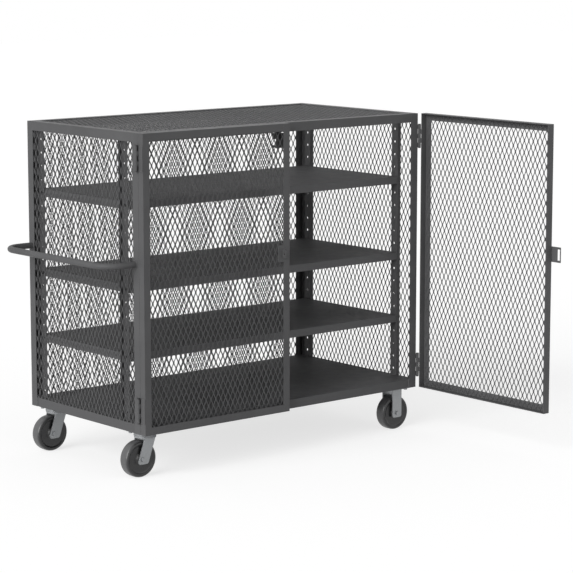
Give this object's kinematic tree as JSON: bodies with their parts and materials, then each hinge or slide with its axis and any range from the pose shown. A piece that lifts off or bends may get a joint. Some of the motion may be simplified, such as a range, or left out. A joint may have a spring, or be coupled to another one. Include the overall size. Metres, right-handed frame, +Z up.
{
  "type": "mesh security cart",
  "caption": "Lockable expanded-metal security cart with hinged doors, solid shelves, a slotted hasp, a push handle and swivel and rigid casters.",
  "frame": {"origin": "on the floor, below the middle of the overall box, with the left door shut and the right door open at a right angle", "axes": "+X along the cart's length away from the push handle, +Y from the doors to the rear, +Z up"},
  "size_m": [1.7288, 1.5986, 1.4105],
  "materials": {
    "frame_paint": "satin",
    "mesh_paint": "satin",
    "zinc_plate": "satin",
    "dark_steel": "satin",
    "bearing_steel": "satin",
    "wheel_phenolic": "matt"
  },
  "bodies": {
    "cart": {"front_left_post": "frame_paint", "front_right_post": "frame_paint", "rear_right_post": "frame_paint", "rear_left_post": "frame_paint", "front_top_rail": "frame_paint", "rear_top_rail": "frame_paint", "left_top_rail": "frame_paint", "right_top_rail": "frame_paint", "left_end_mesh": "mesh_paint", "right_end_mesh": "mesh_paint", "rear_mesh": "mesh_paint", "top_mesh": "mesh_paint", "base_deck": "frame_paint", "caster_bolsters": "frame_paint", "front_left_upright": "frame_paint", "rear_left_upright": "frame_paint", "front_right_upright": "frame_paint", "rear_right_upright": "frame_paint", "lower_shelf": "frame_paint", "middle_shelf": "frame_paint", "upper_shelf": "frame_paint", "shelf_bolts": "dark_steel", "push_handle": "frame_paint", "frame_hinge_leaves": "frame_paint", "hinge_pins": "dark_steel", "caster_bolts": "zinc_plate", "front_left_caster_plate": "zinc_plate", "rear_left_caster_plate": "zinc_plate", "front_right_fork": "zinc_plate", "rear_right_fork": "zinc_plate", "right_axles": "zinc_plate"},
    "left_door": {"left_door_hinge_stile": "frame_paint", "left_door_lock_stile": "frame_paint", "left_door_top_rail": "frame_paint", "left_door_bottom_rail": "frame_paint", "left_door_mesh": "mesh_paint", "left_door_hinge_leaves": "frame_paint", "left_door_staple": "frame_paint", "slide_bolt_bracket": "frame_paint"},
    "slide_bolt": {"slide_bolt": "dark_steel"},
    "right_door": {"right_door_hinge_stile": "frame_paint", "right_door_lock_stile": "frame_paint", "right_door_top_rail": "frame_paint", "right_door_bottom_rail": "frame_paint", "right_door_mesh": "mesh_paint", "right_door_hinge_leaves": "frame_paint", "right_door_hasp": "frame_paint"},
    "front_left_swivel": {"front_left_fork": "zinc_plate", "front_left_axle": "zinc_plate"},
    "rear_left_swivel": {"rear_left_fork": "zinc_plate", "rear_left_axle": "zinc_plate"},
    "front_left_wheel": {"front_left_wheel": "wheel_phenolic", "front_left_bushing": "bearing_steel"},
    "rear_left_wheel": {"rear_left_wheel": "wheel_phenolic", "rear_left_bushing": "bearing_steel"},
    "front_right_wheel": {"front_right_wheel": "wheel_phenolic", "front_right_bushing": "bearing_steel"},
    "rear_right_wheel": {"rear_right_wheel": "wheel_phenolic", "rear_right_bushing": "bearing_steel"}
  },
  "joints": [
    {"name": "left_door_hinge", "type": "hinge", "parent": "cart", "child": "left_door", "pos_m": [-0.7156, 0.02125, 0.8005], "axis": [0, 0, 1], "range_deg": [-120, 0]},
    {"name": "right_door_hinge", "type": "hinge", "parent": "cart", "child": "right_door", "pos_m": [0.8284, 0.02125, 0.8005], "axis": [0, 0, 1], "range_deg": [-90, 90]},
    {"name": "slide_bolt_slide", "type": "slide", "parent": "left_door", "child": "slide_bolt", "axis": [0, 0, 1], "range_m": [0, 0.028]},
    {"name": "front_left_swivel_turn", "type": "hinge", "parent": "cart", "child": "front_left_swivel", "pos_m": [-0.6296, 0.09375, 0.1686], "axis": [0, 0, 1], "continuous": true},
    {"name": "rear_left_swivel_turn", "type": "hinge", "parent": "cart", "child": "rear_left_swivel", "pos_m": [-0.6296, 0.72675, 0.1686], "axis": [0, 0, 1], "continuous": true},
    {"name": "front_left_wheel_spin", "type": "hinge", "parent": "front_left_swivel", "child": "front_left_wheel", "pos_m": [-0.6666, 0.09375, 0.0762], "axis": [0, 1, 0], "continuous": true},
    {"name": "rear_left_wheel_spin", "type": "hinge", "parent": "rear_left_swivel", "child": "rear_left_wheel", "pos_m": [-0.6666, 0.72675, 0.0762], "axis": [0, 1, 0], "continuous": true},
    {"name": "front_right_wheel_spin", "type": "hinge", "parent": "cart", "child": "front_right_wheel", "pos_m": [0.7429, 0.09375, 0.0762], "axis": [0, 1, 0], "continuous": true},
    {"name": "rear_right_wheel_spin", "type": "hinge", "parent": "cart", "child": "rear_right_wheel", "pos_m": [0.7429, 0.72675, 0.0762], "axis": [0, 1, 0], "continuous": true}
  ]
}
